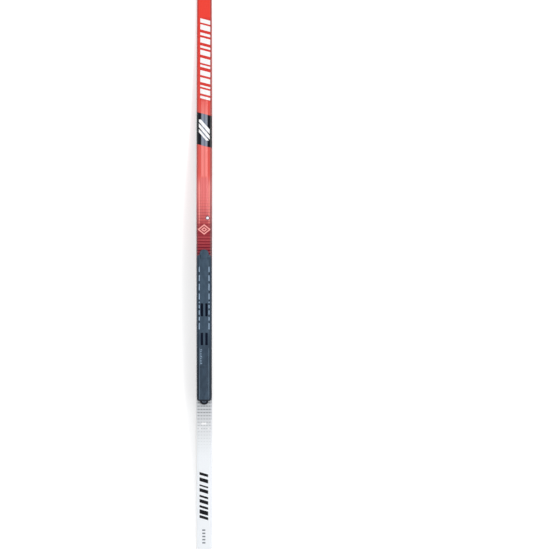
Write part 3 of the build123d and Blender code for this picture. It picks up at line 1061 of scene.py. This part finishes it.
# Halftone: fine cross lines that grow towards the plate.
RED_PITCH = 8.3
phase = ((x + 1.6).repeat(RED_PITCH) - RED_PITCH / 2).abs()
growth = x.rise(196, 20)
lines = (phase - growth * 1.15).rise(0.42, -0.22)
paint.layer(srgb(92, 12, 34), lines * x.band(-30, 192, 16) * (growth * 0.62 + 0.22))
light_lines = ((x + 5.4).repeat(RED_PITCH) - RED_PITCH / 2).abs().rise(0.75, 0.35)
paint.layer(srgb(226, 118, 120), light_lines * x.band(-4, 58, 10) * 0.62)
blotch = paint.noise(0.16, 2.0, (1, 1, 1))
paint.layer(srgb(150, 34, 46), blotch.rise(0.45, 0.7) * x.band(36, 120, 40) * 0.42)

# Navy field with slanted ends. Plain slanted bars stand in it.
slanted = x - y * 0.26
navy_field = slanted.band(316.5, 407.5, 0.8)
paint.layer(NAVY, navy_field)
# Painted reflection of the spine over the navy field, as on the red.
paint.layer(NAVY_RIDGE_REFLECTION, navy_field * side.band(1.2, 8.4, 2.6) * 0.96)
paint.layer(NAVY_VALLEY_REFLECTION, navy_field * valley * 0.96)
bar_slant = x - y * 1.15
field_bars = [(338, 347), (352, 363), (368, 381)]
field_zone = x.band(332, 392, 0.6) * side.band(-1, 15.4, 0.5)
paint.layer(WHITE_INK, paint.bars(bar_slant, field_bars, 300, 430) * field_zone)

# Plain slanted bars in a mixed rhythm along the shovel.
shovel_slant = x - y * 0.26
shovel_bars = [
    (449, 457), (463, 477), (482, 487), (496, 510), (516, 530), (539, 545), (551, 566),
    (574, 588), (594, 600), (609, 624), (630, 637), (646, 660), (666, 677),
]
shovel_y = y + 2.6
paint.layer(srgb(206, 50, 44), x.band(446, 682, 8) * shovel_y.band(-15.4, 15.4, 1.2) * 0.62)
paint.layer(WHITE_INK, paint.bars(shovel_slant, shovel_bars, 430, 700) * shovel_y.band(-14.2, 14.2, 0.6))

# White dot in a dark ring, and a plain outlined lozenge across the ski.
DOT_X, DOT_Y = 111.5, -9.8
LOZENGE_X = 79.0
dot_x = x - DOT_X
dot_y = y - DOT_Y
radius = (dot_x * dot_x + dot_y * dot_y).op("SQRT")
paint.layer(srgb(88, 66, 96), radius.rise(6.6, 5.6) * 0.85)
paint.layer(WHITE_INK, radius.rise(4.2, 3.5))
from_lozenge = (x - LOZENGE_X).abs()
lozenge = from_lozenge * 1.12 + side * 0.88
paint.layer(srgb(136, 24, 40), from_lozenge.band(-1, 17, 6) * 0.55)
paint.layer(PINK, lozenge.band(12.0, 16.6, 0.5))
paint.layer(PINK, lozenge.band(3.6, 7.6, 0.5))

# Grey halftone lines that fade out behind the plate, with a plain knocked-out bar and two small ones.
GREY_PITCH = 9.15
BLOB_PITCH = 7.8
phase = ((x + 6.4).repeat(GREY_PITCH) - GREY_PITCH / 2).abs()
weight = x.rise(-560, -406)
blobs = ((y + BLOB_PITCH / 2).repeat(BLOB_PITCH) - BLOB_PITCH / 2).abs() * 0.26
grey = (phase + blobs - weight * 1.3).rise(0.7, -0.2)
knock = (x + 472.5).abs().band(-1, 2.8, 0.8) * (y - 1.0).abs().band(-1, 6.6, 0.8)
small_knock = (x + 486.8).abs().band(-1, 2.6, 0.8) * (side - 12.5).abs().band(-1, 3.0, 0.8)
knock = knock.op("MAXIMUM", small_knock * 0.6)
paint.layer(srgb(88, 92, 98), grey * x.band(-580, -396, 8) * (weight * 0.78 + 0.2))
paint.layer(WHITE_INK, knock * 0.92)

# Black slanted bars and a row of small ticks on the white tail.
rear_slant = x - y * 0.30
tail_bars = [
    (-746, -738), (-733, -721), (-716, -709), (-702, -692), (-686, -680), (-671, -661), (-655, -650),
    (-641, -630), (-623, -615),
]
tail_zone = (y - 1.5).band(-12.3, 12.3, 0.5)
paint.layer(srgb(10, 12, 16), paint.bars(rear_slant, tail_bars, -760, -590) * tail_zone)
tick_bars = [(-815, -811), (-806, -802), (-797, -793), (-788, -784), (-779, -775)]
paint.layer(srgb(114, 120, 128), paint.bars(x, tick_bars, -830, -760) * y.band(-2.6, 6.1, 0.5) * 0.95)

# Painted shade darkens both shoulders ahead of the white tail, the right one more, and only the right one on
# the tail; the clear coat is worn thin along the crease.
crease = side + x.rise(600, 860) * 1.2
right = y * -1.0
front = x.rise(-420, -380)
paint.layer(srgb(206, 204, 206), crease.rise(16.4, 17.4) * front, "MULTIPLY")
paint.layer(srgb(214, 212, 214), right.rise(16.0, 17.0) * front, "MULTIPLY")
paint.layer(srgb(240, 241, 243), right.rise(16.6, 17.6) * x.rise(-380, -420), "MULTIPLY")
wear = paint.noise(0.05, 4.0, (1, 6, 6))
paint.layer(srgb(255, 240, 236), wear.rise(0.62, 0.9) * side.rise(16, 19) * 0.10)
orange_peel = paint.noise(0.55, 2.0, (1, 1.6, 1))
paint.bump(orange_peel, 0.05, 0.35)
paint.roughness(paint.noise(0.03, 4.0, (0.3, 1, 1)), 0.30, 0.44)
use(paint.done(), top_sheet)


# ---- other materials -------------------------------------------------
def carbon_material():
    p = Paint("carbon_laminate", Roughness=0.38, Coat_Weight=0.3, Coat_Roughness=0.2)
    weave_a = (p.x + p.z).repeat(2.4).rise(1.0, 1.4)
    weave_b = (p.x - p.z + p.y).repeat(2.4).rise(1.0, 1.4)
    p.base(srgb(26, 27, 30))
    p.layer(srgb(58, 60, 66), weave_a * 0.7)
    p.layer(srgb(14, 15, 18), weave_b * 0.6)
    p.bump(weave_a, 0.06, 0.5)
    p.roughness(p.noise(0.4, 3.0), 0.32, 0.5)
    return p.done()


def sidewall_material():
    p = Paint("side_wall_polymer", Roughness=0.42)
    p.base(
        p.ramp(
            p.x,
            [
                (-900, srgb(228, 230, 234)),
                (-520, srgb(222, 224, 228)),
                (-412, srgb(196, 200, 204)),
                (-400, srgb(34, 44, 58)),
                (-14, srgb(34, 44, 58)),
                (2, srgb(110, 22, 40)),
                (160, srgb(206, 60, 56)),
                (820, srgb(226, 62, 50)),
            ],
            -900,
            820,
        )
    )
    lines = p.noise(0.9, 4.0, (0.02, 1, 2.2))
    p.layer(srgb(60, 50, 54), lines.rise(0.52, 0.8) * 0.22)
    p.layer(srgb(255, 255, 255), lines.rise(0.45, 0.2) * 0.08)
    p.bump(lines, 0.05, 0.5)
    p.roughness(p.noise(0.2, 4.0, (0.1, 1, 1)), 0.36, 0.54)
    return p.done()


def sole_material():
    p = Paint("sintered_sole", Roughness=0.5)
    speck = p.noise(2.2, 2.0)
    cloud = p.noise(0.05, 4.0, (0.4, 1, 1))
    p.base(srgb(30, 31, 34))
    p.layer(srgb(52, 54, 58), cloud.rise(0.35, 0.75) * 0.6)
    p.layer(srgb(96, 98, 104), speck.rise(0.66, 0.78) * 0.35)
    grind = p.noise(3.2, 2.0, (0.015, 1, 1))
    p.layer(srgb(84, 86, 92), grind.rise(0.56, 0.7) * 0.32)
    # A plain pale stripe pattern towards the tip of the sole.
    stripe = p.bars(p.x + p.y.abs() * 1.4, [(560, 585), (600, 640), (655, 715)], 500, 800)
    p.layer(srgb(206, 58, 52), stripe * p.y.abs().band(4.5, 15.5, 0.4) * 0.9)
    p.bump(grind, 0.04, 0.6)
    p.roughness(cloud, 0.4, 0.6)
    return p.done()


def edge_material():
    p = Paint("running_edge_polymer", Roughness=0.45)
    p.base(srgb(22, 23, 26))
    scuff = p.noise(0.5, 4.0, (0.05, 1, 1))
    p.layer(srgb(70, 72, 78), scuff.rise(0.55, 0.8) * 0.5)
    p.bump(scuff, 0.04, 0.5)
    p.roughness(scuff, 0.38, 0.6)
    return p.done()


def plate_material(name, base, rear, light, dark, edges=None, gloss=0.5):
    """Moulded plate: a tone that deepens to the rear and a mottled grain; given edges, painted shade darkens
    the flanges and a painted shadow the rear end.
    """
    p = Paint(name, Roughness=0.5, IOR=1.45, Specular_IOR_Level=gloss)
    grain = p.noise(1.6, 3.0)
    cloud = p.noise(0.09, 4.0, (0.5, 1, 1))
    p.base(p.ramp(p.x, [(-440, rear), (-290, rear), (-190, base), (30, base)], -440, 30))
    p.layer(light, cloud.rise(0.45, 0.75) * 0.35)
    p.layer(dark, cloud.rise(0.5, 0.28) * 0.30)
    p.layer(dark, grain.rise(0.55, 0.75) * 0.30)
    if edges:
        # edges holds the painted shade of the flanges, a deeper painted shade on them towards the rear, and
        # a painted shadow along the rear end.
        flange_shade, rear_flange_shade, end_shadow = edges
        flanges = p.y.abs().rise(15.4, 16.4)
        p.layer(flange_shade, flanges * p.x.rise(18, 6) * 0.9)
        p.layer(rear_flange_shade, flanges * p.x.rise(-220, -320) * 0.9)
        end = plate_front / MM - FLANGE_END
        p.layer(end_shadow, p.x.rise(end + 4.6, end + 3.4) * 0.92)
    p.bump(grain, 0.07, 0.6)
    p.roughness(cloud, 0.42, 0.58)
    return p.done()


def moulded(name, base, light, roughness=(0.36, 0.52)):
    p = Paint(name, Roughness=0.45)
    grain = p.noise(1.1, 3.0)
    scuff = p.noise(0.25, 5.0, (0.4, 1, 1))
    p.base(base)
    p.layer(light, scuff.rise(0.55, 0.85) * 0.45)
    p.layer(light, grain.rise(0.6, 0.8) * 0.2)
    p.bump(grain, 0.05, 0.6)
    p.roughness(scuff, *roughness)
    return p.done()


def inner_material(name, base, light, scale, stretch=(1, 1, 1)):
    """A plain material for what lies inside the ski."""
    p = Paint(name, Roughness=0.6)
    grain = p.noise(scale, 5.0, stretch)
    p.base(base)
    p.layer(light, grain.rise(0.4, 0.75) * 0.7)
    p.bump(grain, 0.08, 0.6)
    p.roughness(grain, 0.5, 0.75)
    return p.done()


use(carbon_material(), upper_laminate, lower_laminate)
use(sidewall_material(), *sidewalls)
use(sole_material(), sole)
use(edge_material(), *edges)
SLATE = srgb(57, 77, 95)
SLATE_REAR = srgb(48, 65, 82)
SLATE_PALE = srgb(76, 101, 122)
SLATE_DARK = srgb(36, 53, 72)
# Painted shade of the flanges, deeper to the rear, and painted shadow along the plate's rear end.
FLANGE_AND_END_SHADE = (srgb(36, 54, 71), srgb(24, 37, 50), srgb(10, 18, 32))
# Near black for the painted shade in the slots.
SLOT_SHADE = srgb(4, 16, 40)
use(plate_material("plate_polymer", SLATE, SLATE_REAR, SLATE_PALE, SLATE_DARK, FLANGE_AND_END_SHADE), plate_body, ribs)
# Teeth and scale ticks are coloured a paler slate than the deck.
PALE_MARKS = srgb(154, 180, 206)
use(plate_material("plate_polymer_pale", PALE_MARKS, PALE_MARKS, srgb(172, 192, 210), srgb(112, 134, 156)), teeth, ticks)
LIP = srgb(92, 112, 130)
use(plate_material("plate_polymer_lip", LIP, LIP, srgb(116, 136, 154), srgb(60, 78, 96)), lips)
# Pale colour of the stop's rim: a painted highlight.
RIM_HIGHLIGHT = srgb(120, 138, 158)
use(plate_material("plate_polymer_rim_highlight", RIM_HIGHLIGHT, RIM_HIGHLIGHT, srgb(150, 166, 184), srgb(84, 100, 118)), rim)
# The slot walls and floors and the rack teeth in them are near black: painted shade in the recesses.
slot_shade_polymer = plate_material("plate_polymer_slot_shade", SLOT_SHADE, SLOT_SHADE, srgb(14, 30, 54), srgb(2, 8, 20), gloss=0.15)
use(slot_shade_polymer, racks)
use(moulded("stop_polymer", srgb(4, 11, 27), srgb(20, 32, 50), (0.34, 0.5)), rear_stop)


def paint_wells(obj, material):
    """Gives the walls and floors of the slots a second material, near black as painted shade."""
    obj.data.materials.append(material)
    margin = 0.1
    rim_z = GLUE + (DECK_TOP - 0.3) * MM
    for face in obj.data.polygons:
        x, y, z = face.center
        s = (plate_front - x) / MM
        beside = abs(abs(y) / MM - SLOT_OFFSET) < SLOT_WIDTH / 2 + margin
        along = any(a * PLATE_MM - margin < s < b * PLATE_MM + margin for a, b in SLOT_SHARES)
        if beside and along and GLUE < z - top_z(x) < rim_z:
            face.material_index = 1


paint_wells(plate_body, slot_shade_polymer)
use(moulded("end_polymer", srgb(24, 27, 36), srgb(58, 62, 72)), tip_cap, tail_cap)
use(moulded("filler_polymer", srgb(44, 46, 52), srgb(70, 72, 80)), tip_filler, tail_filler)
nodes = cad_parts
core_fill = inner_material("light_core_fill", srgb(196, 170, 112), srgb(222, 200, 150), 0.6)
use(core_fill, nodes["fore_core"], nodes["rear_core"])
core_wood = inner_material("dense_core_wood", srgb(190, 150, 100), srgb(222, 190, 146), 0.5, (0.03, 1, 1))
use(core_wood, nodes["mid_core"])
insert_fill = inner_material("insert_polymer", srgb(140, 144, 146), srgb(170, 172, 174), 0.9)
use(insert_fill, nodes["binding_insert"])
wrap_fibre = inner_material("wrap_fibre", srgb(168, 176, 150), srgb(206, 210, 190), 1.4, (0.1, 1, 1))
use(wrap_fibre, nodes["torsion_wrap"])
bond_film = inner_material("bond_film", srgb(34, 36, 42), srgb(60, 62, 70), 0.8)
use(bond_film, nodes["plate_adhesive"])

# ---- stage, light and camera -----------------------------------------
scene = bpy.context.scene
scene.view_settings.view_transform = "Standard"
scene.view_settings.look = "None"

FLOOR_HALF = 9.0
FLOOR_GLOW = 0.31               # lifts the paper to the even white of a light table
bm = bmesh.new()
bmesh.ops.create_grid(bm, x_segments=8, y_segments=8, size=FLOOR_HALF)
floor_mesh = bpy.data.meshes.new("floor")
bm.to_mesh(floor_mesh)
bm.free()
floor = bpy.data.objects.new("floor", floor_mesh)
bpy.context.collection.objects.link(floor)
p = Paint("floor_paper", Roughness=0.9, Specular_IOR_Level=0.1, Emission_Strength=FLOOR_GLOW)
p.shader.inputs["Emission Color"].default_value = (1, 1, 1, 1)
p.base(srgb(250, 250, 250))
p.layer(srgb(255, 255, 255), p.noise(0.004, 3.0) * 0.5)
floor.data.materials.append(p.done())


def soft_light(name, place, size, power):
    """A rectangular light aimed at the middle of the ski."""
    light = bpy.data.lights.new(name, "AREA")
    light.shape = "RECTANGLE"
    light.size, light.size_y = size
    light.energy = power
    obj = bpy.data.objects.new(name, light)
    bpy.context.collection.objects.link(obj)
    obj.location = place
    obj.rotation_euler = Vector(place).to_track_quat("Z", "Y").to_euler()


soft_light("key", (0.2, -2.7, 2.6), (3.4, 1.3), 54)
soft_light("fill", (0.0, 3.4, 2.4), (3.4, 2.0), 9)

world = bpy.data.worlds.new("studio")
scene.world = world
world.use_nodes = True
wt = world.node_tree
coords = wt.nodes.new("ShaderNodeTexCoord")
split = wt.nodes.new("ShaderNodeSeparateXYZ")
wt.links.new(coords.outputs["Generated"], split.inputs[0])
# Bright round the horizon, dark straight overhead.
SKY_STOPS = [(0.74, (1, 1, 1, 1)), (0.93, (0.08, 0.08, 0.09, 1))]
sky = wt.nodes.new("ShaderNodeValToRGB")
for element, (place, colour) in zip(sky.color_ramp.elements, SKY_STOPS):
    element.position = place
    element.color = colour
wt.links.new(split.outputs[2], sky.inputs[0])
background = wt.nodes["Background"]
wt.links.new(sky.outputs["Color"], background.inputs["Color"])
background.inputs["Strength"].default_value = 1.06

# The view is straight down, the tip up the picture and the ski left of the middle.
VIEW_SPAN = 1.5586
VIEW_X = -0.0489
VIEW_Y = -0.1996
VIEW_HEIGHT = 12.0              # over the height at which the span is measured
SPAN_HEIGHT = 0.045
SENSOR_MM = 36.0
camera_data = bpy.data.cameras.new("camera")
camera_data.sensor_width = SENSOR_MM
camera_data.lens = SENSOR_MM * VIEW_HEIGHT / VIEW_SPAN
camera_data.clip_end = 100.0
camera = bpy.data.objects.new("camera", camera_data)
bpy.context.collection.objects.link(camera)
camera.location = (VIEW_X, VIEW_Y, VIEW_HEIGHT + SPAN_HEIGHT)
camera.rotation_euler = (0, 0, -math.pi / 2)
scene.camera = camera

bpy.context.view_layer.update()
